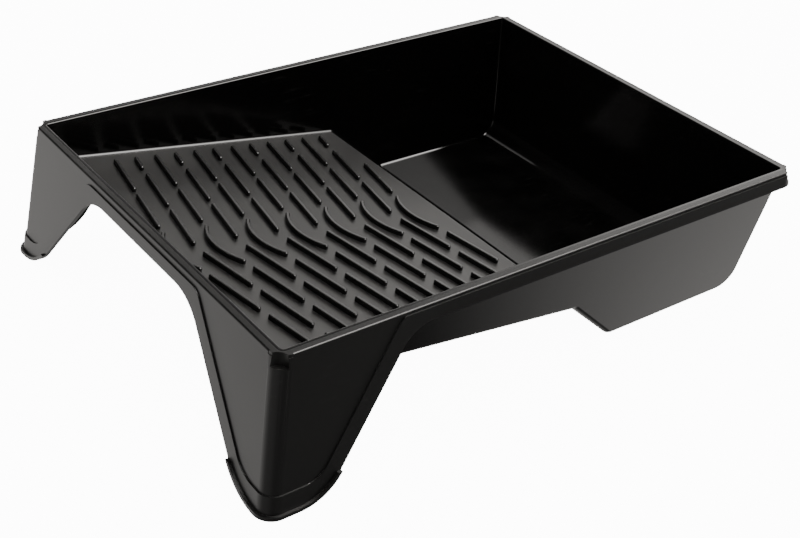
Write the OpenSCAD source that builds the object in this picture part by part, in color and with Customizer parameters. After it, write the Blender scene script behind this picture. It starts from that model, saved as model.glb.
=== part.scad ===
// Deep-well paint roller tray on two corner legs, one thin moulding laid out as its natural regions.
// X runs from the leg end to the deep end, Y across the tray, Z up, the surface it stands on is Z = 0.

/* [Tray] */
// Length over the rim
tray_l = 386; // [340:1:440]
// Width over the rim
tray_w = 290; // [260:1:330]
// Height from the feet to the top of the rim
tray_h = 93; // [80:1:115]
// Wall thickness
wall_t = 2; // [1.6:0.1:3]

/* [Rim] */
// Width of the flat land on top of the rim
rim_w = 6; // [4:0.5:10]
// Depth of the turned-down skirt
skirt_h = 9.5; // [6:0.5:14]
// Depth of the small step between the land and the skirt
step_down = 2; // [0.8:0.1:2]
// Outer radius of the rim corners
rim_r = 9; // [7:0.5:12]
// Radius of the scallop in each rim corner
notch_r = 6.5; // [4:0.5:7]
// Depth of the scallop below the rim top
notch_h = 8; // [4:0.5:9]
// Height of the plain strip between the land and the border of the leg end
strip_h = 4; // [3:0.5:5]

/* [Basin] */
// Draft of the long side walls, in degrees
side_draft = 8.7; // [4:0.1:12]
// Draft of the deep end wall, in degrees
end_draft = 6; // [2:0.1:12]
// Draft of the wall above the top of the ramp, in degrees
shallow_draft = 7; // [2:0.1:12]
// Height of the ramp surface at the leg end
ramp_hi = 69.2; // [60:0.1:76]
// Height of the ramp surface at the edge of the well
ramp_lo = 39; // [30:0.1:50]
// Distance of the ramp edge beyond the middle of the tray
ramp_edge = 25.5; // [10:0.5:50]
// Distance of the foot of the step beyond the middle of the tray
step_foot = 66; // [50:0.5:90]
// Radius on the edge of the ramp
edge_r = 4; // [3:0.5:8]
// Radius at the foot of the step
foot_r = 6; // [3:0.5:12]
// Radius between the well floor and the end wall
end_r = 14; // [6:0.5:24]

/* [Ramp ribs] */
// Width of a rib
rib_w = 2.6; // [1.6:0.1:4]
// Height of a rib
rib_h = 2.9; // [1.4:0.1:4]
// Chamfer on the top edges of a rib
rib_soft = 0.6; // [0.3:0.1:0.8]
// Distance between ribs along the ramp
rib_pitch = 28.76; // [22:0.1:36]
// Span of a straight rib across the tray
rib_span = 39.6; // [24:0.1:44]
// Set-back of a straight rib over its span
rib_slant = 7.1; // [0:0.1:14]
// Distance between rows of ribs across the tray
row_pitch = 24.5; // [20:0.1:28]
// Extra distance of the first row from the middle
row_lead = 2.2; // [0:0.1:5]
// Step of each row toward the well
row_step = 4.5; // [0:0.1:8]
// Half width of a curved rib
bow_half = 21.8; // [12:0.1:24]
// Rise of a curved rib
bow_rise = 6.6; // [2:0.1:10]

/* [Legs] */
// Outward lean of the end faces, per unit of height
lean_x = 0.135; // [0:0.005:0.25]
// Outward lean of the side faces, per unit of height
lean_y = 0.115; // [0:0.005:0.25]
// Radius of the upright corner of a leg
leg_r = 9; // [9:0.5:16]
// How far the border stands proud of the panel
band_t = 0.9; // [0.5:0.1:2]
// Height of the border above the foot
band_foot = 13; // [8:0.5:20]
// Height of the lower edge of the apron
apron_z = 81.5; // [76:0.5:84]
// How far the foot lip stands out from the border
lip_t = 1.8; // [1:0.1:3]
// Thickness of the foot lip
lip_w = 2.2; // [1.5:0.1:4]
// Height to which the foot lip rises
lip_top = 14; // [8:0.5:20]

/* [Hidden] */
$fn = 96;
e = 0.01;
// neighbouring lengths of one section overlap by this much
lap = 0.05;
// a bend keeps this much straight plate on each side
past = 0.5;
L2 = tray_l / 2;
W2 = tray_w / 2;
H = tray_h;
Ht = H - wall_t;
BIG = 600;
// the skirt ends flush with the border of the legs
skirt_lean = band_t + lean_y * skirt_h;
// outermost reach at each end, used to put the origin under the middle of the whole tray
reach_lo = L2 + lean_x * H + (band_t + lip_t) * sqrt(1 + lean_x * lean_x);
reach_hi = L2 + skirt_lean;
cx = (reach_lo - reach_hi) / 2;

// ---- small helpers ----
function unit(v) = v / norm(v);
function line_cross(p, u, q, v) = let (d = u[0] * v[1] - u[1] * v[0], w = q - p)
    p + u * ((w[0] * v[1] - w[1] * v[0]) / d);
// direction of the way from a to b
function dir(a, b) = unit(b - a);
function left(u) = [-u[1], u[0]];
// half of the angle between two ways leaving a vertex
function half_angle(u, v) = acos(u * v) / 2;

// the sliver between a vertex and the circle that rounds it
module vertex_patch(v, a, b, r) {
    u = dir(v, a);
    w = dir(v, b);
    h = half_angle(u, w);
    c = v + unit(u + w) * (r / sin(h));
    t = r / tan(h);
    difference() {
        polygon([v - u - w, v + u * t, c, v + w * t]);
        translate(c) circle(r);
    }
}

// prism across the tray from a shape drawn in X and Z
module across(w = BIG) rotate([90, 0, 0]) linear_extrude(w, center = true) children();
// prism along the tray from a shape drawn in Y and Z
module along(w = BIG) rotate([90, 0, 90]) linear_extrude(w, center = true) children();
module back_side() mirror([0, 1, 0]) children();
// every region is placed so that the origin lies under the middle of the whole tray
module placed() translate([cx, 0, 0]) children();

// ---- basin ----
function side_y(z) = W2 - rim_w - (H - z) * tan(side_draft);
// inner line of the basin from the leg end to the deep end
p0 = [-(L2 - rim_w) + 0, H];
p1 = [-(L2 - rim_w) + (H - ramp_hi) * tan(shallow_draft), ramp_hi];
p2 = [ramp_edge, ramp_lo];
p3 = [step_foot, wall_t];
p4 = [L2 - rim_w - (H - wall_t) * tan(end_draft), wall_t];
p5 = [L2 - rim_w, H];
// outer line, one wall thickness away
function shifted(a, b, t) = a - left(dir(a, b)) * t;
q1 = line_cross(shifted(p0, p1, wall_t), dir(p0, p1), shifted(p1, p2, wall_t), dir(p1, p2));
q2 = line_cross(shifted(p1, p2, wall_t), dir(p1, p2), shifted(p2, p3, wall_t), dir(p2, p3));
q3 = line_cross(shifted(p2, p3, wall_t), dir(p2, p3), shifted(p3, p4, wall_t), dir(p3, p4));
q4 = line_cross(shifted(p3, p4, wall_t), dir(p3, p4), shifted(p4, p5, wall_t), dir(p4, p5));
q0 = line_cross(shifted(p0, p1, wall_t), dir(p0, p1), [0, Ht], [1, 0]);
q5 = line_cross(shifted(p4, p5, wall_t), dir(p4, p5), [0, Ht], [1, 0]);
i0 = line_cross(p0, dir(p0, p1), [0, Ht], [1, 0]);
i5 = line_cross(p4, dir(p4, p5), [0, Ht], [1, 0]);
// length of straight line taken up by each bend
t2 = edge_r / tan(half_angle(dir(p2, p1), dir(p2, p3)));
t3 = foot_r / tan(half_angle(dir(p3, p2), dir(p3, p4)));
t4 = end_r / tan(half_angle(dir(p4, p3), dir(p4, p5)));

// straight plate between two points of the inner line
module plate(a, b) {
    n = left(dir(a, b)) * wall_t;
    polygon([a, b, b - n, a - n]);
}

module between_sides() along() polygon([[-side_y(0), 0], [side_y(0), 0], [side_y(H), H], [-side_y(H), H]]);

module cross_wall() intersection() {
    across() children();
    between_sides();
}

module well_floor() placed() color("#2b2a29") cross_wall()
    plate(p3 + dir(p3, p4) * (t3 + past), p4 - dir(p3, p4) * (t4 + past));

module gate_mark() placed() color("#302f2e") translate([117, 10, wall_t]) difference() {
    cylinder(r = 4, h = 0.4);
    translate([0, 0, -e]) cylinder(r = 2.8, h = 1);
}

// end wall with the bend at its foot
module end_section() {
    a = p4 - dir(p3, p4) * (t4 + past);
    down = [0, -wall_t];
    difference() {
        union() {
            polygon([a, p4, i5, q5, q4, a + down]);
            vertex_patch(p4, p3, p5, end_r);
        }
        vertex_patch(q4, q3, q5, end_r + wall_t);
    }
}

// step with the bend at its foot and the rounded edge of the ramp
module step_section() {
    a = p2 + dir(p2, p1) * (t2 + past);
    b = p3 + dir(p3, p4) * (t3 + past);
    n = left(dir(p1, p2)) * wall_t;
    difference() {
        union() {
            polygon([a, p2, p3, b, b - [0, wall_t], q3, q2, a - n]);
            vertex_patch(p3, p2, p4, foot_r);
        }
        vertex_patch(q3, q2, q4, foot_r + wall_t);
        vertex_patch(p2, p1, p3, edge_r);
    }
}

module well_end_wall() placed() color("#2b2a29") cross_wall() end_section();
module well_step() placed() color("#2b2a29") cross_wall() step_section();

module ramp_deck() placed() color("#333231") cross_wall() {
    a = p2 + dir(p2, p1) * (t2 + past);
    n = left(dir(p1, p2)) * wall_t;
    polygon([p1, a, a - n, q1]);
}

module shallow_wall() placed() color("#2b2a29") cross_wall() polygon([i0, p1, q1, q0]);

module basin_outline() {
    difference() {
        polygon([q0, q1, q2, q3, q4, q5]);
        vertex_patch(q3, q2, q4, foot_r + wall_t);
        vertex_patch(q4, q3, q5, end_r + wall_t);
    }
}

module side_wall() {
    s = wall_t / cos(side_draft);
    intersection() {
        across() basin_outline();
        along() polygon([[side_y(Ht), Ht], [side_y(0), 0], [side_y(0) + s, 0], [side_y(Ht) + s, Ht]]);
    }
}

module side_wall_back() placed() color("#2d2c2b") side_wall();
module side_wall_front() placed() color("#2d2c2b") back_side() side_wall();

// ---- ribs, drawn on the ramp surface ----
ramp_a = atan((ramp_hi - ramp_lo) / (p2[0] - p1[0]));
module on_ramp(x, y)
    translate([x, y, ramp_lo + (ramp_edge - x) * tan(ramp_a)])
        rotate([0, ramp_a, 0]) children();

module rib_section() polygon([
    [-rib_w / 2, 0], [rib_w / 2, 0], [rib_w / 2, rib_h - rib_soft], [rib_w / 2 - rib_soft, rib_h],
    [rib_soft - rib_w / 2, rib_h], [-rib_w / 2, rib_h - rib_soft]]);

module rib_end() rotate_extrude() intersection() {
    rib_section();
    square([rib_w, rib_h]);
}

// straight rib from a to b, both given on the ramp surface
module rib(a, b) {
    l = norm(b - a);
    translate([a[0], a[1], 0]) rotate([0, 0, atan2(b[1] - a[1], b[0] - a[0])]) {
        rotate([90, 0, 90]) linear_extrude(l) rib_section();
        rib_end();
        translate([l, 0, 0]) rib_end();
    }
}

col_0 = -L2 - 7.5;
function col(c) = col_0 + rib_pitch * c;
function row_y(k) = row_lead + row_pitch * k;

module row_of_ribs(k, from, to) for (c = [from:1:to])
    on_ramp(col(c) + row_step * k, row_y(k))
        rib([-rib_slant / 2, -rib_span / 2], [rib_slant / 2, rib_span / 2]);

module stub_ribs(k, from, to) for (c = [from:1:to])
    on_ramp(col(c) + row_step * k, row_y(k))
        rib([-rib_slant / 2, -rib_span / 2 + 2.2], [-1, -rib_span / 2 + 15]);

module rib_field() {
    row_of_ribs(1, 1.5, 6.5);
    row_of_ribs(2, 1, 7);
    row_of_ribs(3, 1.5, 6.5);
    row_of_ribs(4, 1, 6);
    stub_ribs(5, 1.5, 6.5);
}

module ribs_back() placed() color("#3a3937") rib_field();
module ribs_front() placed() color("#3a3937") back_side() rib_field();

bow_r = (bow_half * bow_half + bow_rise * bow_rise) / (2 * bow_rise);
bow_a = asin(bow_half / bow_r);
module ribs_middle() placed() color("#3a3937") for (c = [1:7])
    on_ramp(col(c) + 3.6, 0) translate([bow_r - bow_rise, 0, 0]) {
        rotate([0, 0, 180 - bow_a]) rotate_extrude(angle = 2 * bow_a) translate([bow_r, 0]) rib_section();
        for (s = [-1, 1]) rotate([0, 0, 180 + s * bow_a]) translate([bow_r, 0, 0]) rib_end();
    }

// ---- rim: profile drawn outward and up, 0 is the outer edge of the land ----
skirt_z = H - skirt_h;
module land_section(lean) polygon([[-rim_w, Ht], [lean * wall_t, Ht], [0, H], [-rim_w, H]]);

// land with the skirt that hangs from it, one small step lower and further out
module skirted_section() polygon([
    [-rim_w, Ht], [-rim_w, H], [0, H], [0, H - step_down], [band_t, H - step_down],
    [skirt_lean, skirt_z], [skirt_lean - wall_t, skirt_z], [band_t - wall_t, Ht]]);

// x of the place where the long skirt hands over to the leg
join_x = -96;

module rim_side() {
    translate([0, W2, 0]) rotate([90, 0, 90]) translate([0, 0, -(L2 - rim_r)])
        linear_extrude(L2 - rim_r + join_x + lap) land_section(lean_y);
    translate([join_x, W2, 0]) rotate([90, 0, 90]) linear_extrude(L2 - rim_r - join_x) skirted_section();
}

module rim_back() placed() color("#353433") rim_side();
module rim_front() placed() color("#353433") back_side() rim_side();

module rim_deep() placed() color("#353433") translate([L2, W2 - rim_r, 0]) rotate([90, 0, 0])
    linear_extrude(2 * (W2 - rim_r)) skirted_section();

module rim_shallow() placed() color("#353433") translate([-L2, -(W2 - rim_r), 0]) rotate([90, 0, 180])
    linear_extrude(2 * (W2 - rim_r)) land_section(lean_x);

// corner of the rim, drawn round the centre of the corner radius
module rim_corner() {
    intersection() {
        translate([notch_d, notch_d, skirt_z]) cylinder(r = notch_r + 1.6, h = H - skirt_z - 1);
        translate([0, 0, skirt_z]) cylinder(r = rim_r, h = H - skirt_z);
        translate([0, 0, skirt_z]) cube([2 * rim_r, 2 * rim_r, H - skirt_z]);
    }
    rotate_extrude(angle = 90) children();
}

// the scallop that is cut out of every corner, open to the top and to the outside
notch_d = rim_r + 0.3;
module scallop() translate([notch_d, notch_d, H - notch_h]) cylinder(r = notch_r, h = notch_h + 1);

module deep_corner() translate([L2 - rim_r, W2 - rim_r, 0]) difference() {
    rim_corner() translate([rim_r, 0]) skirted_section();
    scallop();
}

// the part of the leg shell that belongs to the corner of the rim
module corner_zone() translate([-L2 - 20, W2 - rim_r, skirt_z]) cube([20 + rim_r, 30, 30]);

module leg_corner() difference() {
    union() {
        mirror([1, 0, 0]) translate([L2 - rim_r, W2 - rim_r, 0]) rim_corner()
            translate([rim_r, 0]) land_section(0);
        intersection() {
            union() {
                leg_shell();
                border_shell();
            }
            corner_zone();
        }
    }
    mirror([1, 0, 0]) translate([L2 - rim_r, W2 - rim_r, 0]) scallop();
}

module corner_back_deep() placed() color("#383735") deep_corner();
module corner_front_deep() placed() color("#383735") back_side() deep_corner();
module corner_back_shallow() placed() color("#383735") leg_corner();
module corner_front_shallow() placed() color("#383735") back_side() leg_corner();

// ---- legs ----
// inner edge of a leg on the end face, Y and Z, and on the side face, X toward the leg end and Z
end_a = [78.5, 58.5];
end_u = unit([-1, 1.2]);
side_a = [120.3, 69.1];
side_u = unit([-1, 1.426]);
arch_end_r = 34;
arch_side_r = 26;
tongue_end_r = 40;
tongue_side_r = 34;

// face outline pulled in by o: top line at top, leg edge through a along u, foot a hair under the floor
module face_outline(a, u, top, r_arch, r_foot, o, under) {
    ao = a + [u[1], -u[0]] * o;
    v1 = line_cross(ao, u, [0, top + o], [1, 0]);
    v2 = line_cross(ao, u, [0, o - under], [1, 0]);
    difference() {
        polygon([[0, top + o], v1, v2, [260, o - under], [260, 2 * H], [0, 2 * H]]);
        vertex_patch(v2, v1, [260, o - under], r_foot - o);
    }
    vertex_patch(v1, [0, top + o], v2, r_arch + o);
}

module end_outline(o = 0) face_outline(end_a, end_u, apron_z, arch_end_r, tongue_end_r, o, 0.01);
module side_outline(o = 0) face_outline(side_a, side_u, skirt_z, arch_side_r, tongue_side_r, o, 0.03);

// inset panel of each face
module end_panel() {
    a = end_a + [13, 0];
    v1 = line_cross(a, end_u, [0, H - strip_h], [1, 0]);
    v2 = line_cross(a, end_u, [0, band_foot], [1, 0]);
    difference() {
        polygon([[-1, H - strip_h], v1, v2, [300, band_foot], [300, H], [-1, H]]);
        vertex_patch(v2, v1, [300, band_foot], 22);
    }
    vertex_patch(v1, [-1, H - strip_h], v2, 12);
}

module side_panel() {
    a = side_a + [12.6, 0];
    v1 = line_cross(a, side_u, [0, H], [1, 0]);
    v2 = line_cross(a, side_u, [0, band_foot], [1, 0]);
    difference() {
        polygon([v1, v2, [300, band_foot], [300, H]]);
        vertex_patch(v2, v1, [300, band_foot], 18);
    }
    vertex_patch(v1, v1 - [30, 0], v2, 15);
}

// frame that follows the slanting corner line of the leg at the back, leg end
n_end = unit([-1, 0, lean_x]);
n_side = unit([0, 1, lean_y]);
down = unit(cross(n_end, n_side));
e_one = n_end;
e_two = cross(down * -1, e_one) * -1;
// the side face normal seen in that frame
side_in = [n_side * e_one, n_side * e_two];
side_way = [-side_in[1], side_in[0]];

module leg_frame() {
    up = cross(e_one, e_two);
    multmatrix([
        [e_one[0], e_two[0], up[0], -L2],
        [e_one[1], e_two[1], up[1], W2],
        [e_one[2], e_two[2], up[2], H],
        [0, 0, 0, 1]]) translate([0, 0, -160]) linear_extrude(320) children();
}

// L-shaped section with a round corner, between offsets a and b from the panel faces
function corner_at(o) = line_cross([o, 0], [0, 1], side_in * o, side_way);
module bent(a, b) {
    va = corner_at(a);
    vb = corner_at(b);
    far = side_way * 200;
    difference() {
        union() {
            polygon([[a, -200], va, va + far, vb + far, vb, [b, -200]]);
            vertex_patch(va, [a, -200], va + far, leg_r + a);
        }
        vertex_patch(vb, [b, -200], vb + far, leg_r + b);
    }
}

apron_half = 44;
module half_plane(x) translate([x, -10]) square([400, 400]);
module on_end() along() children();
module on_side() mirror([1, 0, 0]) across() children();

// the bent shell inside both face outlines, pulled in by o
module shell(a, b, o = 0) intersection() {
    leg_frame() bent(a, b);
    outline_block(o);
}

module outline_block(o) intersection() {
    on_end() intersection() {
        end_outline(o);
        half_plane(apron_half);
    }
    on_side() intersection() {
        side_outline(o);
        half_plane(-join_x);
    }
    translate([-L2 - 60, 0, 0]) cube([L2 + 60, W2 + 60, Ht]);
}

// room over the inset panels, each kept to its own face, the end face with the round corner
bend_reach = leg_r + 2;
module panel_room() {
    intersection() {
        on_end() end_panel();
        translate([-L2 - 60, 0, 0]) cube([60 + bend_reach, 200, 2 * H]);
    }
    intersection() {
        on_side() side_panel();
        translate([-L2 + bend_reach, 140, 0]) cube([L2, 60, 2 * H]);
    }
}

module leg_shell() shell(-wall_t, 0);

module border_shell() difference() {
    shell(-lap, band_t);
    panel_room();
}

module leg() difference() {
    leg_shell();
    corner_zone();
}

module leg_border() difference() {
    border_shell();
    corner_zone();
}

module foot_lip() difference() {
    intersection() {
        shell(band_t - lap, band_t + lip_t);
        union() {
            translate([-L2 - 60, 100, 0]) cube([90, 100, lip_top]);
            translate([-L2 - 60, 140, 0]) cube([L2 - 80, 100, lip_top]);
        }
    }
    outline_block(lip_w);
}

module leg_back() placed() color("#454341") leg();
module leg_front() placed() color("#454341") back_side() leg();
module leg_border_back() placed() color("#3e3c3a") leg_border();
module leg_border_front() placed() color("#3e3c3a") back_side() leg_border();
module foot_lip_back() placed() color("#353433") foot_lip();
module foot_lip_front() placed() color("#353433") back_side() foot_lip();

// band across the leg end between the legs, with the thin plate that carries it
function apron_x(z) = -L2 - lean_x * (H - z);
module apron() placed() color("#3e3c3a") {
    s = sqrt(1 + lean_x * lean_x);
    top = H - strip_h;
    across(2 * apron_half) polygon([
        [apron_x(apron_z) - band_t * s, apron_z], [apron_x(top) - band_t * s, top],
        [apron_x(top), top], [apron_x(Ht), Ht],
        [apron_x(Ht) + wall_t * s, Ht], [apron_x(apron_z) + wall_t * s, apron_z]]);
}

well_floor();
gate_mark();
well_end_wall();
well_step();
ramp_deck();
shallow_wall();
side_wall_front();
side_wall_back();
ribs_front();
ribs_middle();
ribs_back();
rim_front();
rim_back();
rim_shallow();
rim_deep();
corner_front_shallow();
corner_back_shallow();
corner_front_deep();
corner_back_deep();
apron();
leg_front();
leg_back();
leg_border_front();
leg_border_back();
foot_lip_front();
foot_lip_back();
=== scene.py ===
import math

import bmesh
import bpy
from mathutils import Matrix, Vector


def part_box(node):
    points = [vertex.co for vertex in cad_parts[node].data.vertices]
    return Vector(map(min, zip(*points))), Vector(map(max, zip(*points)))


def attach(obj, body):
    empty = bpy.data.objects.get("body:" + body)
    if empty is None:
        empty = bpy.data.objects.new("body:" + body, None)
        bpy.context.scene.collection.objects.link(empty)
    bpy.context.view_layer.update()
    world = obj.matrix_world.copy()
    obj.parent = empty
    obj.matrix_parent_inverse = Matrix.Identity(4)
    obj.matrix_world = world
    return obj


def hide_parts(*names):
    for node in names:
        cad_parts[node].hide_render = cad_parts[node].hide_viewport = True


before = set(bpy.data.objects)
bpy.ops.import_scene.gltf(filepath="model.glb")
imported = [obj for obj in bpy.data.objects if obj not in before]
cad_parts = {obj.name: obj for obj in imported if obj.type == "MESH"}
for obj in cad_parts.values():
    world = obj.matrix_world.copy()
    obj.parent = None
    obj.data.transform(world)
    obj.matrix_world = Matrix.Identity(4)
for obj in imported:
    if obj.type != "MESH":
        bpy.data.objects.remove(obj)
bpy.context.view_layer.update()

bl_info = {
    "name": "Paint Roller Tray",
    "version": (1, 0, 0),
    "blender": (4, 5, 0),
    "location": "View3D > Sidebar > Tray",
    "description": "Builds the moulded surfaces, finishes and studio of a plastic paint roller tray",
    "category": "Add Mesh",
}

SAME_PLACE = 1e-5
ROOM_GLOSS = 0.03
FLOOR_DROP = 0.0002
LEG_PARTS = ("leg", "leg_border", "foot_lip")
BASIN_NODES = ("well_floor", "well_end_wall", "well_step", "ramp_deck", "shallow_wall",
               "side_wall_front", "side_wall_back")
CORNER_NODES = ("corner_front_shallow", "corner_back_shallow", "corner_front_deep", "corner_back_deep")
RIM_NODES = ("rim_front", "rim_back", "rim_shallow", "rim_deep")


# ---- sizes and colours a user would change ----
class BasinSizes(bpy.types.PropertyGroup):
    """Sizes of the basin, the same as the part's own"""

    length: bpy.props.FloatProperty(
        name="Length", description="Length over the rim", default=0.386, unit="LENGTH")
    width: bpy.props.FloatProperty(
        name="Width", description="Width over the rim", default=0.290, unit="LENGTH")
    height: bpy.props.FloatProperty(
        name="Height", description="Height of the rim above the feet", default=0.093, unit="LENGTH")
    wall: bpy.props.FloatProperty(name="Wall", description="Wall thickness", default=0.002, unit="LENGTH")
    land: bpy.props.FloatProperty(
        name="Land", description="Width of the flat top of the rim", default=0.006, unit="LENGTH")
    side_draft: bpy.props.FloatProperty(name="Side draft", description="Lean of the long walls",
                                        default=math.radians(8.7), subtype="ANGLE")
    end_draft: bpy.props.FloatProperty(name="End draft", description="Lean of the deep end wall",
                                       default=math.radians(6.0), subtype="ANGLE")
    shallow_draft: bpy.props.FloatProperty(
        name="Shallow draft", description="Lean of the wall above the ramp", default=math.radians(7.0),
        subtype="ANGLE")
    ramp_high: bpy.props.FloatProperty(name="Ramp top", description="Height of the ramp at the leg end",
                                       default=0.0692, unit="LENGTH")
    ramp_low: bpy.props.FloatProperty(name="Ramp edge", description="Height of the ramp at the well",
                                      default=0.039, unit="LENGTH")
    ramp_edge: bpy.props.FloatProperty(
        name="Edge place", description="Ramp edge beyond the middle of the rim", default=0.0255,
        unit="LENGTH")
    step_foot: bpy.props.FloatProperty(
        name="Step foot", description="Foot of the step beyond the middle of the rim", default=0.066,
        unit="LENGTH")
    edge_radius: bpy.props.FloatProperty(name="Edge radius", description="Radius on the edge of the ramp",
                                         default=0.004, unit="LENGTH")
    foot_radius: bpy.props.FloatProperty(name="Foot radius", description="Radius at the foot of the step",
                                         default=0.006, unit="LENGTH")
    end_radius: bpy.props.FloatProperty(
        name="End radius", description="Radius from the well floor to the end wall", default=0.014,
        unit="LENGTH")
    top_radius: bpy.props.FloatProperty(
        name="Top radius", description="Radius between the ramp and the wall above it", default=0.002,
        unit="LENGTH")
    crease: bpy.props.FloatProperty(
        name="Crease", description="Softness of the inner corners", default=0.0016, unit="LENGTH")
    lip: bpy.props.FloatProperty(
        name="Lip", description="Softness of the inner edge of the rim", default=0.0006, unit="LENGTH")


class OuterSizes(bpy.types.PropertyGroup):
    """Softness of the rim, legs and borders"""

    softness: bpy.props.FloatProperty(
        name="Softness", description="Radius asked for on outer edges", default=0.00045, unit="LENGTH")
    rim_softness: bpy.props.FloatProperty(
        name="Rim softness", description="Radius on the outer edges of the land", default=0.001,
        unit="LENGTH")
    steps: bpy.props.IntProperty(
        name="Steps", description="Facets across a softened edge", default=2, min=1)


class PlasticFinish(bpy.types.PropertyGroup):
    """Colour and gloss of the black plastic"""

    basin_colour: bpy.props.FloatVectorProperty(
        name="Basin", description="Colour of the basin", subtype="COLOR",
        default=(0.0020, 0.0019, 0.0018))
    ramp_colour: bpy.props.FloatVectorProperty(
        name="Ramp", description="Colour of the ramp", subtype="COLOR",
        default=(0.0042, 0.0040, 0.0038))
    outer_colour: bpy.props.FloatVectorProperty(name="Outer", description="Colour of the rim and legs",
                                                subtype="COLOR", default=(0.0040, 0.0038, 0.0036))
    basin_gloss: bpy.props.FloatProperty(
        name="Basin roughness", description="Roughness of the basin", default=0.11, min=0, max=1)
    ramp_gloss: bpy.props.FloatProperty(
        name="Ramp roughness", description="Roughness of the ramp", default=0.38, min=0, max=1)
    rib_gloss: bpy.props.FloatProperty(
        name="Rib roughness", description="Roughness of the ribs, worn smoother", default=0.24, min=0,
        max=1)
    outer_gloss: bpy.props.FloatProperty(
        name="Outer roughness", description="Roughness of the rim and legs", default=0.36, min=0, max=1)


class StudioSizes(bpy.types.PropertyGroup):
    """Camera, lights and floor"""

    camera_place: bpy.props.FloatVectorProperty(
        name="Camera place", description="Where the camera stands",
        default=(-0.46997, -0.58921, 0.48725), subtype="TRANSLATION", unit="LENGTH")
    camera_yaw: bpy.props.FloatProperty(name="Yaw", description="Heading from +X toward +Y",
                                        default=math.radians(51.374), subtype="ANGLE")
    camera_pitch: bpy.props.FloatProperty(name="Pitch", description="Angle above the horizon",
                                          default=math.radians(-32.726), subtype="ANGLE")
    camera_roll: bpy.props.FloatProperty(name="Roll", description="Turn about the line of sight",
                                         default=math.radians(4.345), subtype="ANGLE")
    lens: bpy.props.FloatProperty(name="Lens", description="Focal length on a 36 mm sensor, in millimetres",
                                  default=60.53)
    floor_colour: bpy.props.FloatVectorProperty(
        name="Floor", description="Colour of the floor", subtype="COLOR", default=(0.93, 0.93, 0.93))
    floor_glow: bpy.props.FloatProperty(
        name="Floor glow", description="Light given by the floor", default=12.0, min=0)
    room_light: bpy.props.FloatProperty(
        name="Room light", description="Strength of the even light", default=1.15, min=0)


GROUPS = {
    "tray_basin": BasinSizes,
    "tray_outer": OuterSizes,
    "tray_finish": PlasticFinish,
    "tray_studio": StudioSizes,
}


# ---- small helpers for modelling ----
def only(obj):
    """Leave just this object selected and active."""
    bpy.ops.object.select_all(action="DESELECT")
    obj.select_set(True)
    bpy.context.view_layer.objects.active = obj


def edit(obj):
    only(obj)
    bpy.ops.object.mode_set(mode="EDIT")


def leave_edit():
    bpy.ops.object.mode_set(mode="OBJECT")


def pick_edges(obj, test):
    """In edit mode, select the edges for which test(edge) holds."""
    bpy.ops.mesh.select_mode(type="EDGE")
    bpy.ops.mesh.select_all(action="DESELECT")
    mesh = bmesh.from_edit_mesh(obj.data)
    found = 0
    for edge in mesh.edges:
        if test(edge):
            edge.select = True
            found += 1
    mesh.select_flush_mode()
    bmesh.update_edit_mesh(obj.data)
    if not found:
        raise RuntimeError(f"{obj.name}: no edge found to work on")


def pick_vertices(obj, test):
    bpy.ops.mesh.select_mode(type="VERT")
    bpy.ops.mesh.select_all(action="DESELECT")
    mesh = bmesh.from_edit_mesh(obj.data)
    for vertex in mesh.verts:
        vertex.select = test(vertex.co)
    mesh.select_flush_mode()
    bmesh.update_edit_mesh(obj.data)


def modify(obj, kind, **settings):
    """Add a modifier with these settings and apply it."""
    only(obj)
    bpy.ops.object.modifier_add(type=kind)
    modifier = obj.modifiers[-1]
    for key, value in settings.items():
        setattr(modifier, key, value)
    bpy.ops.object.modifier_apply(modifier=modifier.name)


def smooth(obj, angle=32):
    only(obj)
    bpy.ops.object.shade_smooth_by_angle(angle=math.radians(angle))
    modify(obj, "WEIGHTED_NORMAL", keep_sharp=True, mode="FACE_AREA", weight=100)


def half_between(a, b, c):
    """Half the angle at b between the ways to a and c."""
    return (a - b).angle(c - b) / 2


# ---- finishes ----
def socket(group, name, side, kind="NodeSocketFloat", value=None):
    item = group.interface.new_socket(name=name, in_out=side, socket_type=kind)
    if value is not None:
        item.default_value = value
    return item


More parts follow.
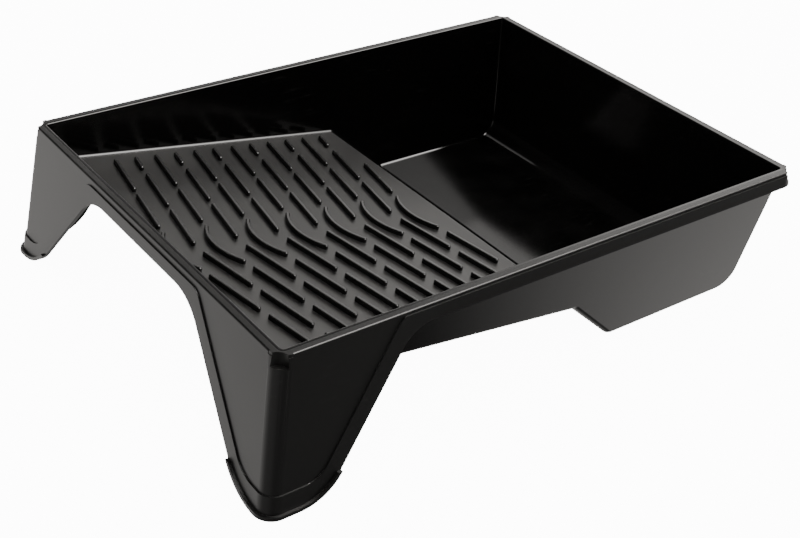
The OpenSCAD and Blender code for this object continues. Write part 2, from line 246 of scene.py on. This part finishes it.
def moulded_skin():
    """Node group: fine grain, slow gloss variation, scuffs and settled dust of moulded plastic."""
    group = bpy.data.node_groups.new("Moulded skin", "ShaderNodeTree")
    socket(group, "Colour", "INPUT", "NodeSocketColor", (0.02, 0.02, 0.02, 1))
    socket(group, "Roughness", "INPUT", value=0.35)
    socket(group, "Grain size", "INPUT", value=2500.0)
    socket(group, "Gloss drift", "INPUT", value=0.05)
    socket(group, "Scuffs", "INPUT", value=0.2)
    socket(group, "Dust", "INPUT", value=0.1)
    socket(group, "Colour", "OUTPUT", "NodeSocketColor")
    socket(group, "Roughness", "OUTPUT")
    socket(group, "Height", "OUTPUT")
    nodes, links = group.nodes, group.links
    given = nodes.new("NodeGroupInput")
    out = nodes.new("NodeGroupOutput")
    place = nodes.new("ShaderNodeTexCoord")

    def noise(scale, detail, rough=0.5):
        tex = nodes.new("ShaderNodeTexNoise")
        tex.inputs["Detail"].default_value = detail
        tex.inputs["Roughness"].default_value = rough
        if isinstance(scale, float):
            tex.inputs["Scale"].default_value = scale
        else:
            links.new(scale, tex.inputs["Scale"])
        links.new(place.outputs["Object"], tex.inputs["Vector"])
        return tex.outputs["Fac"]

    def sums(kind, a, b, clamp=False):
        node = nodes.new("ShaderNodeMath")
        node.operation = kind
        node.use_clamp = clamp
        for i, v in enumerate((a, b)):
            if isinstance(v, (int, float)):
                node.inputs[i].default_value = v
            else:
                links.new(v, node.inputs[i])
        return node.outputs[0]

    def band(value, low, high):
        node = nodes.new("ShaderNodeMapRange")
        node.inputs["From Min"].default_value = low
        node.inputs["From Max"].default_value = high
        links.new(value, node.inputs["Value"])
        return node.outputs["Result"]

    grain = noise(given.outputs["Grain size"], 2.0)
    drift = noise(9.0, 3.0)
    stretched = nodes.new("ShaderNodeMapping")
    stretched.inputs["Scale"].default_value = (0.12, 1.0, 1.0)
    stretched.inputs["Rotation"].default_value = (0.0, 0.0, 0.35)
    links.new(place.outputs["Object"], stretched.inputs["Vector"])
    scratch = nodes.new("ShaderNodeTexNoise")
    scratch.inputs["Scale"].default_value = 420.0
    scratch.inputs["Detail"].default_value = 5.0
    scratch.inputs["Roughness"].default_value = 0.62
    links.new(stretched.outputs["Vector"], scratch.inputs["Vector"])
    scuff = sums("MULTIPLY", band(scratch.outputs["Fac"], 0.60, 0.74), band(noise(22.0, 2.0), 0.45, 0.70))
    scuff = sums("MULTIPLY", scuff, given.outputs["Scuffs"])
    facing = nodes.new("ShaderNodeNewGeometry")
    parts = nodes.new("ShaderNodeSeparateXYZ")
    links.new(facing.outputs["Normal"], parts.inputs["Vector"])
    up = band(parts.outputs["Z"], 0.35, 1.0)
    specks = band(noise(900.0, 3.0, 0.7), 0.66, 0.80)
    film = band(noise(30.0, 4.0), 0.40, 0.75)
    dust = sums("MULTIPLY", up, sums("ADD", sums("MULTIPLY", specks, 0.8), sums("MULTIPLY", film, 0.25)))
    dust = sums("MULTIPLY", dust, given.outputs["Dust"], clamp=True)

    lighten = nodes.new("ShaderNodeMix")
    lighten.data_type = "RGBA"
    lighten.inputs["B"].default_value = (0.10, 0.098, 0.094, 1)
    links.new(scuff, lighten.inputs["Factor"])
    links.new(given.outputs["Colour"], lighten.inputs["A"])
    dusty = nodes.new("ShaderNodeMix")
    dusty.data_type = "RGBA"
    dusty.inputs["B"].default_value = (0.16, 0.155, 0.145, 1)
    links.new(dust, dusty.inputs["Factor"])
    links.new(lighten.outputs["Result"], dusty.inputs["A"])
    links.new(dusty.outputs["Result"], out.inputs["Colour"])

    rough = sums("ADD", given.outputs["Roughness"],
                 sums("MULTIPLY", sums("SUBTRACT", drift, 0.5), given.outputs["Gloss drift"]))
    rough = sums("ADD", rough, sums("MULTIPLY", scuff, 0.25))
    rough = sums("ADD", rough, sums("MULTIPLY", dust, 0.5), clamp=True)
    links.new(rough, out.inputs["Roughness"])
    height = sums("ADD", grain, sums("MULTIPLY", noise(60.0, 2.0), 1.5))
    links.new(height, out.inputs["Height"])
    return group


def plastic(name, colour, roughness, grain_size, grain_depth, drift, scuffs, dust, bump=0.35):
    """A black plastic that takes its colour, gloss and grain from the moulded skin group."""
    group = bpy.data.node_groups.get("Moulded skin") or moulded_skin()
    material = bpy.data.materials.new(name)
    material.use_nodes = True
    nodes, links = material.node_tree.nodes, material.node_tree.links
    shader = nodes["Principled BSDF"]
    skin = nodes.new("ShaderNodeGroup")
    skin.node_tree = group
    skin.inputs["Colour"].default_value = (*colour, 1)
    skin.inputs["Roughness"].default_value = roughness
    skin.inputs["Grain size"].default_value = grain_size
    skin.inputs["Gloss drift"].default_value = drift
    skin.inputs["Scuffs"].default_value = scuffs
    skin.inputs["Dust"].default_value = dust
    raised = nodes.new("ShaderNodeBump")
    raised.inputs["Strength"].default_value = bump
    raised.inputs["Distance"].default_value = grain_depth
    links.new(skin.outputs["Colour"], shader.inputs["Base Color"])
    links.new(skin.outputs["Roughness"], shader.inputs["Roughness"])
    links.new(skin.outputs["Height"], raised.inputs["Height"])
    links.new(raised.outputs["Normal"], shader.inputs["Normal"])
    shader.inputs["IOR"].default_value = 1.5
    return material


def finishes(context):
    """The tray's plastics by name, made on first use."""
    look = context.scene.tray_finish
    # name, colour, roughness, grain size and depth, gloss drift, scuffs, dust
    kinds = {
        "basin": ("Basin gloss", look.basin_colour, look.basin_gloss, 1800.0, 0.00002, 0.06, 0.25, 0.10),
        "ramp": ("Ramp satin", look.ramp_colour, look.ramp_gloss, 2200.0, 0.00004, 0.08, 0.40, 0.30),
        "rib": ("Rib worn", look.ramp_colour, look.rib_gloss, 2200.0, 0.00002, 0.08, 0.20, 0.30),
        "outer": ("Outer satin", look.outer_colour, look.outer_gloss, 2600.0, 0.00003, 0.06, 0.10, 0.20),
    }
    return {key: bpy.data.materials.get(kind[0]) or plastic(*kind) for key, kind in kinds.items()}


def middle_of_rim():
    """Distance along X from the origin to the middle of the rim."""
    low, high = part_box("rim_back")
    return (low.x + high.x) / 2


# ---- pieces ----
class TRAY_OT_basin(bpy.types.Operator):
    """Fold the basin out of its floor: well, step, ramp and walls, with soft inner corners"""

    bl_idname = "tray.basin"
    bl_label = "Basin"

    def execute(self, context):
        s = context.scene.tray_basin
        half_l, half_w, top = s.length / 2, s.width / 2, s.height
        shift = middle_of_rim()

        def side(z):
            return half_w - s.land - (top - z) * math.tan(s.side_draft)

        def at(x, z):
            return Vector((x + shift, 0, z))

        rim_a = at(-(half_l - s.land), top)
        ramp_a = at(-(half_l - s.land) + (top - s.ramp_high) * math.tan(s.shallow_draft), s.ramp_high)
        ramp_b = at(s.ramp_edge, s.ramp_low)
        foot = at(s.step_foot, s.wall)
        end = at(half_l - s.land - (top - s.wall) * math.tan(s.end_draft), s.wall)
        rim_b = at(half_l - s.land, top)

        bpy.ops.object.select_all(action="DESELECT")
        bpy.ops.mesh.primitive_plane_add(size=1, location=(0, 0, 0))
        obj = context.object
        obj.name = obj.data.name = "basin"
        edit(obj)
        bpy.ops.mesh.select_all(action="SELECT")
        bpy.ops.transform.resize(value=(end.x - foot.x, 2 * side(s.wall), 1), center_override=(0, 0, 0))
        bpy.ops.transform.translate(value=((end.x + foot.x) / 2, 0, s.wall))

        def cross(place):
            """Test for an edge that runs across the tray at this place."""
            return lambda e: all((Vector((v.co.x, 0, v.co.z)) - place).length < SAME_PLACE for v in e.verts)

        def fold(start, goal):
            """Run the cross edge at start out to goal, and spread it to the width there."""
            pick_edges(obj, cross(start))
            bpy.ops.mesh.extrude_edges_move(TRANSFORM_OT_translate={"value": tuple(goal - start)})
            bpy.ops.transform.resize(value=(1, side(goal.z) / side(start.z), 1), center_override=tuple(goal))

        fold(end, rim_b)
        fold(foot, ramp_b)
        fold(ramp_b, ramp_a)
        fold(ramp_a, rim_a)
        for sign in (1, -1):
            pick_edges(obj, lambda e: e.is_boundary and all(v.co.y * sign > 0.01 for v in e.verts))
            bpy.ops.mesh.edge_face_add()
        bpy.ops.mesh.select_all(action="SELECT")
        bpy.ops.mesh.normals_make_consistent(inside=False)
        mesh = bmesh.from_edit_mesh(obj.data)
        floor = min(mesh.faces, key=lambda f: f.calc_center_median().z)
        if floor.normal.z < 0:
            bpy.ops.mesh.flip_normals()

        for place, before, after, radius, steps in (
                (end, foot, rim_b, s.end_radius, 12), (foot, ramp_b, end, s.foot_radius, 6),
                (ramp_b, ramp_a, foot, s.edge_radius, 6), (ramp_a, rim_a, ramp_b, s.top_radius, 4)):
            pick_edges(obj, cross(place))
            reach = radius / math.tan(half_between(before, place, after))
            bpy.ops.mesh.bevel(offset=reach, segments=steps, profile=0.5, affect="EDGES",
                               offset_type="OFFSET")

        def crease(e):
            faces = e.link_faces
            return len(faces) == 2 and (abs(faces[0].normal.y) > 0.9) != (abs(faces[1].normal.y) > 0.9)

        pick_edges(obj, crease)
        bpy.ops.mesh.bevel(offset=s.crease, segments=4, profile=0.5, affect="EDGES", offset_type="OFFSET")
        leave_edit()
        modify(obj, "SOLIDIFY", thickness=s.wall, offset=-1, use_even_offset=True, use_quality_normals=True)

        edit(obj)
        pick_vertices(obj, lambda co: co.z > top - 0.0006)
        bpy.ops.transform.resize(value=(1, 1, 0), center_override=(0, 0, top))
        inner_x, inner_y = half_l - s.land + SAME_PLACE, half_w - s.land + SAME_PLACE

        def inner_lip(e):
            return all(abs(v.co.z - top) < 1e-6 and abs(v.co.x - shift) < inner_x and abs(v.co.y) < inner_y
                       for v in e.verts)

        pick_edges(obj, inner_lip)
        bpy.ops.mesh.bevel(offset=s.lip, segments=3, profile=0.5, affect="EDGES", offset_type="OFFSET")
        bpy.ops.mesh.select_all(action="SELECT")
        bpy.ops.mesh.normals_make_consistent(inside=False)
        leave_edit()
        smooth(obj)

        skins = finishes(context)
        obj.data.materials.clear()
        obj.data.materials.append(skins["basin"])
        obj.data.materials.append(skins["ramp"])
        lie = (ramp_b - ramp_a).normalized()
        ramp_up = Vector((-lie.z, 0, lie.x))
        for face in obj.data.polygons:
            if face.normal.angle(ramp_up) < 0.02 and face.center.z > s.ramp_low - 0.001:
                face.material_index = 1
        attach(obj, "root")
        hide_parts(*BASIN_NODES)
        return {"FINISHED"}


def copy_of(node):
    """A loose, welded copy of one region, free to be changed."""
    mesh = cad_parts[node].data.copy()
    obj = bpy.data.objects.new("copy_" + node, mesh)
    bpy.context.scene.collection.objects.link(obj)
    obj.data.materials.clear()
    edit(obj)
    bpy.ops.mesh.select_all(action="SELECT")
    bpy.ops.mesh.remove_doubles(threshold=2e-6)
    bpy.ops.mesh.dissolve_limited(angle_limit=math.radians(0.3))
    leave_edit()
    return obj


def united(name, nodes):
    """One mesh of several regions that touch or overlap."""
    base = copy_of(nodes[0])
    base.name = base.data.name = name
    for node in nodes[1:]:
        other = copy_of(node)
        modify(base, "BOOLEAN", operation="UNION", solver="EXACT", object=other)
        bpy.data.objects.remove(other)
    return base


class TRAY_OT_rim_and_legs(bpy.types.Operator):
    """Unite the rim, corners, apron, legs, borders and foot lips, and round the outer edges of the land"""

    bl_idname = "tray.rim_and_legs"
    bl_label = "Rim and legs"

    def execute(self, context):
        basin, outer = context.scene.tray_basin, context.scene.tray_outer
        nodes = list(RIM_NODES + CORNER_NODES + ("apron",))
        nodes += [f"{part}_{side}" for side in ("front", "back") for part in LEG_PARTS]
        obj = united("rim_and_legs", nodes)

        # the inner part of the land, one wall wide, belongs to the basin's own walls
        bpy.ops.object.select_all(action="DESELECT")
        bpy.ops.mesh.primitive_cube_add(size=2, location=(0, 0, 0))
        core = context.object
        edit(core)
        bpy.ops.mesh.select_all(action="SELECT")
        reach = basin.land - basin.wall
        bpy.ops.transform.resize(value=(basin.length / 2 - reach, basin.width / 2 - reach, 0.02),
                                 center_override=(0, 0, 0))
        bpy.ops.transform.translate(value=(middle_of_rim(), 0, basin.height + 0.002))
        pick_edges(core, lambda e: abs(e.verts[0].co.z - e.verts[1].co.z) > 0.01)
        bpy.ops.mesh.bevel(offset=basin.crease * 1.15 + basin.wall, segments=8, affect="EDGES")
        leave_edit()
        modify(obj, "BOOLEAN", operation="DIFFERENCE", solver="EXACT", object=core)
        bpy.data.objects.remove(core)

        edit(obj)
        bpy.ops.mesh.select_all(action="SELECT")
        bpy.ops.mesh.remove_doubles(threshold=6e-5)
        bpy.ops.mesh.dissolve_limited(angle_limit=math.radians(0.5))
        bpy.ops.mesh.dissolve_degenerate(threshold=1e-5)
        bpy.ops.mesh.normals_make_consistent(inside=False)
        leave_edit()

        # the long outer edges of the land are rounded on their own
        def outer_land(v):
            return (abs(v.co.z - basin.height) < 2e-5
                    and (abs(abs(v.co.y) - basin.width / 2) < 2e-4
                         or abs(abs(v.co.x - middle_of_rim()) - basin.length / 2) < 2e-4))

        edit(obj)
        pick_edges(obj, lambda e: all(outer_land(v) for v in e.verts) and e.calc_length() > 0.02)
        bpy.ops.mesh.bevel(offset=outer.rim_softness, segments=4, profile=0.5, affect="EDGES",
                           offset_type="OFFSET")
        leave_edit()
        # the shortest edges of the union hold this bevel to almost nothing
        modify(obj, "BEVEL", width=outer.softness, segments=outer.steps, limit_method="ANGLE",
               angle_limit=math.radians(38), use_clamp_overlap=True, harden_normals=False,
               miter_outer="MITER_ARC")
        smooth(obj, 30)
        obj.data.materials.clear()
        obj.data.materials.append(finishes(context)["outer"])
        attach(obj, "root")
        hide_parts(*nodes)
        return {"FINISHED"}


class TRAY_OT_ribs(bpy.types.Operator):
    """Give the ribs of the ramp and the small round moulding mark their plastic"""

    bl_idname = "tray.ribs"
    bl_label = "Ribs and moulding mark"

    def execute(self, context):
        skins = finishes(context)
        for node, skin in (("ribs_front", "rib"), ("ribs_middle", "rib"), ("ribs_back", "rib"),
                           ("gate_mark", "basin")):
            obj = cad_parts[node]
            obj.data.materials.clear()
            obj.data.materials.append(skins[skin])
            only(obj)
            bpy.ops.object.shade_smooth_by_angle(angle=math.radians(40))
        return {"FINISHED"}


# ---- studio ----
# soft panels that show only in gloss: heading, height above the horizon, inner and outer reach, strength
PANELS = (
    (125, -28, 10, 50, 1.15),    # white board low on the left
    (-12, -34, 6, 26, 1.10),     # white board low on the right
    (28, 18, 8, 29, 2.10),       # broad panel beyond the deep end
    (62, 9, 3, 10, 3.00),        # low strip behind
    (-25, 66, 14, 28, 16.0),     # soft box overhead
    (-52, 40, 10, 20, 6.00),     # small panel high in front
    (-80, -20, 10, 50, 0.14),    # dim board low in front
    (-160, 4, 10, 50, 0.45),     # dim board behind the camera
    (50, -20, 30, 75, 0.55),     # dim board low beyond the deep end
)


def soft_room(strength):
    """A world that lights evenly, and shows soft panels in gloss."""
    world = bpy.data.worlds.new("Soft room")
    world.use_nodes = True
    nodes, links = world.node_tree.nodes, world.node_tree.links
    even = nodes["Background"]
    even.inputs["Color"].default_value = (1, 1, 1, 1)
    even.inputs["Strength"].default_value = strength
    way = nodes.new("ShaderNodeTexCoord")
    total = None
    for heading, height, inner, outer, power in PANELS:
        h, v = math.radians(heading), math.radians(height)
        near = nodes.new("ShaderNodeVectorMath")
        near.operation = "DOT_PRODUCT"
        near.inputs[1].default_value = (math.cos(h) * math.cos(v), math.sin(h) * math.cos(v), math.sin(v))
        links.new(way.outputs["Generated"], near.inputs[0])
        fade = nodes.new("ShaderNodeMapRange")
        fade.interpolation_type = "SMOOTHSTEP"
        fade.inputs["From Min"].default_value = math.cos(math.radians(outer))
        fade.inputs["From Max"].default_value = math.cos(math.radians(inner))
        fade.inputs["To Max"].default_value = power
        links.new(near.outputs["Value"], fade.inputs["Value"])
        if total is None:
            total = fade.outputs["Result"]
        else:
            add = nodes.new("ShaderNodeMath")
            links.new(total, add.inputs[0])
            links.new(fade.outputs["Result"], add.inputs[1])
            total = add.outputs[0]
    add = nodes.new("ShaderNodeMath")
    add.inputs[1].default_value = ROOM_GLOSS
    links.new(total, add.inputs[0])
    panels = nodes.new("ShaderNodeBackground")
    panels.inputs["Color"].default_value = (1.0, 0.975, 0.945, 1)
    links.new(add.outputs[0], panels.inputs["Strength"])
    ray = nodes.new("ShaderNodeLightPath")
    choose = nodes.new("ShaderNodeMixShader")
    links.new(ray.outputs["Is Glossy Ray"], choose.inputs["Fac"])
    links.new(even.outputs["Background"], choose.inputs[1])
    links.new(panels.outputs["Background"], choose.inputs[2])
    links.new(choose.outputs["Shader"], nodes["World Output"].inputs["Surface"])
    return world


class TRAY_OT_studio(bpy.types.Operator):
    """Lay the pale floor, hang the soft lights and stand the camera"""

    bl_idname = "tray.studio"
    bl_label = "Studio"

    def execute(self, context):
        s = context.scene.tray_studio
        bpy.ops.object.select_all(action="DESELECT")
        bpy.ops.mesh.primitive_plane_add(size=1, location=(0, 0, 0))
        floor = context.object
        floor.name = "floor"
        edit(floor)
        bpy.ops.mesh.select_all(action="SELECT")
        bpy.ops.transform.resize(value=(14, 14, 1))
        bpy.ops.transform.translate(value=(0, 0, -FLOOR_DROP))
        leave_edit()
        paper = bpy.data.materials.new("Pale floor")
        paper.use_nodes = True
        shader = paper.node_tree.nodes["Principled BSDF"]
        shader.inputs["Base Color"].default_value = (*s.floor_colour, 1)
        shader.inputs["Roughness"].default_value = 0.9
        shader.inputs["Specular IOR Level"].default_value = 0.1
        shader.inputs["Emission Color"].default_value = (1, 1, 1, 1)
        shader.inputs["Emission Strength"].default_value = s.floor_glow
        floor.data.materials.append(paper)

        floor.visible_glossy = False
        floor.visible_diffuse = False
        context.scene.world = soft_room(s.room_light)

        view = bpy.data.cameras.new("camera")
        view.lens, view.sensor_width = s.lens, 36
        view.clip_start, view.clip_end = 0.01, 50
        camera = bpy.data.objects.new("camera", view)
        ahead = Vector((math.cos(s.camera_yaw) * math.cos(s.camera_pitch),
                        math.sin(s.camera_yaw) * math.cos(s.camera_pitch), math.sin(s.camera_pitch)))
        right = ahead.cross(Vector((0, 0, 1))).normalized()
        above = right.cross(ahead)
        turned = right * math.cos(s.camera_roll) + above * math.sin(s.camera_roll)
        above = above * math.cos(s.camera_roll) - right * math.sin(s.camera_roll)
        camera.rotation_mode = "QUATERNION"
        camera.rotation_quaternion = Matrix((turned, above, -ahead)).transposed().to_quaternion()
        camera.location = s.camera_place
        context.scene.collection.objects.link(camera)
        context.scene.camera = camera
        return {"FINISHED"}


class TRAY_PT_panel(bpy.types.Panel):
    """Lists the tray's pieces and sizes"""

    bl_idname = "TRAY_PT_panel"
    bl_label = "Paint roller tray"
    bl_space_type = "VIEW_3D"
    bl_region_type = "UI"
    bl_category = "Tray"

    def draw(self, context):
        for name, group in GROUPS.items():
            box = self.layout.box()
            for key in group.__annotations__:
                box.prop(getattr(context.scene, name), key)
        for step in STEPS:
            self.layout.operator(step.bl_idname)


STEPS = (TRAY_OT_basin, TRAY_OT_rim_and_legs, TRAY_OT_ribs, TRAY_OT_studio)
CLASSES = (*GROUPS.values(), *STEPS, TRAY_PT_panel)


def register():
    for cls in CLASSES:
        bpy.utils.register_class(cls)
    for name, group in GROUPS.items():
        setattr(bpy.types.Scene, name, bpy.props.PointerProperty(type=group))


def unregister():
    for name in GROUPS:
        delattr(bpy.types.Scene, name)
    for cls in reversed(CLASSES):
        bpy.utils.unregister_class(cls)


def main():
    register()
    bpy.ops.tray.basin()
    bpy.ops.tray.rim_and_legs()
    bpy.ops.tray.ribs()
    bpy.ops.tray.studio()


if __name__ == "__main__":
    main()
